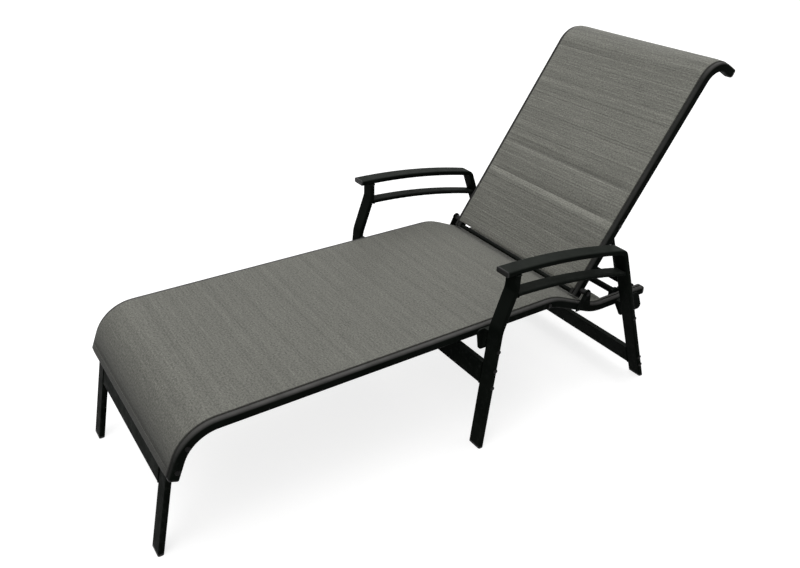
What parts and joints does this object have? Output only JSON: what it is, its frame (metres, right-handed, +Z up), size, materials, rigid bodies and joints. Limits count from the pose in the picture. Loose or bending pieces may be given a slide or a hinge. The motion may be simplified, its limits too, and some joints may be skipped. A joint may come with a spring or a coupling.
{
  "type": "sling chaise lounge",
  "caption": "Patio chaise lounge with a sling seat, adjustable sling back, flat-tube arms and legs, and a prop rod on notched racks.",
  "frame": {"origin": "on the floor under the middle of the overall length and width, at rest", "axes": "+Z up, -Y towards the foot end, +Y towards the head end, +X to the sitter's left"},
  "size_m": [0.737, 1.7604, 0.9336],
  "materials": {
    "frame_tube": "black powder coat, semi-gloss",
    "sling_fabric": "woven mesh sling, grey-brown with fine cross slubs",
    "black_plastic": "matte",
    "bolt_steel": "blackened"
  },
  "bodies": {
    "frame": {"arm_lower_rail_left": "frame_tube", "arm_lower_rail_right": "frame_tube", "armrest_and_rear_leg_left": "frame_tube", "armrest_and_rear_leg_right": "frame_tube", "armrest_cap_left": "black_plastic", "armrest_cap_right": "black_plastic", "foot_cross_bar": "frame_tube", "foot_leg_glides": "black_plastic", "foot_leg_left": "frame_tube", "foot_leg_plugs": "black_plastic", "foot_leg_right": "frame_tube", "foot_spreader_bar": "frame_tube", "front_post_and_leg_left": "frame_tube", "front_post_and_leg_right": "frame_tube", "hinge_bolts": "bolt_steel", "hinge_bushes": "black_plastic", "hinge_nuts": "bolt_steel", "hinge_plate_left": "frame_tube", "hinge_plate_right": "frame_tube", "leg_bolts": "bolt_steel", "middle_bracket_left": "frame_tube", "middle_bracket_right": "frame_tube", "middle_leg_glides": "black_plastic", "middle_stretcher": "frame_tube", "notched_rack_left": "frame_tube", "notched_rack_right": "frame_tube", "rail_bolts": "bolt_steel", "rail_foot_cap_left": "black_plastic", "rail_foot_cap_right": "black_plastic", "rail_tail_cap_left": "black_plastic", "rail_tail_cap_right": "black_plastic", "rear_bracket_left": "frame_tube", "rear_bracket_right": "frame_tube", "rear_cross_bar": "frame_tube", "rear_leg_glides": "black_plastic", "rear_spreader_bar": "frame_tube", "rear_stretcher": "frame_tube", "seat_rail_left": "frame_tube", "seat_rail_right": "frame_tube", "seat_sling": "sling_fabric", "seat_spline_left": "black_plastic", "seat_spline_right": "black_plastic", "seat_spreader_bar": "frame_tube", "spreader_cups": "black_plastic", "stretcher_plugs": "black_plastic"},
    "back": {"back_rail_left": "frame_tube", "back_rail_right": "frame_tube", "back_spline_left": "black_plastic", "back_spline_right": "black_plastic", "back_rail_caps": "black_plastic", "back_bottom_tube": "frame_tube", "back_middle_tube": "frame_tube", "back_top_tube": "frame_tube", "back_sling": "sling_fabric", "prop_bolts": "bolt_steel", "prop_nuts": "bolt_steel"},
    "prop": {"prop_arm_left": "frame_tube", "prop_arm_right": "frame_tube", "prop_cross_bar": "frame_tube"}
  },
  "joints": [
    {"name": "back_tilt", "type": "hinge", "parent": "frame", "child": "back", "pos_m": [0, 0.38145, 0.339], "axis": [1, 0, 0], "range_deg": [-55.8, 5]},
    {"name": "prop_swing", "type": "hinge", "parent": "back", "child": "prop", "pos_m": [0, 0.49836, 0.51103], "axis": [1, 0, 0], "range_deg": [-12, 121]}
  ],
  "couplings": [
    {"joint": "prop_swing", "follows": "back_tilt", "ratio": -2.14}
  ]
}
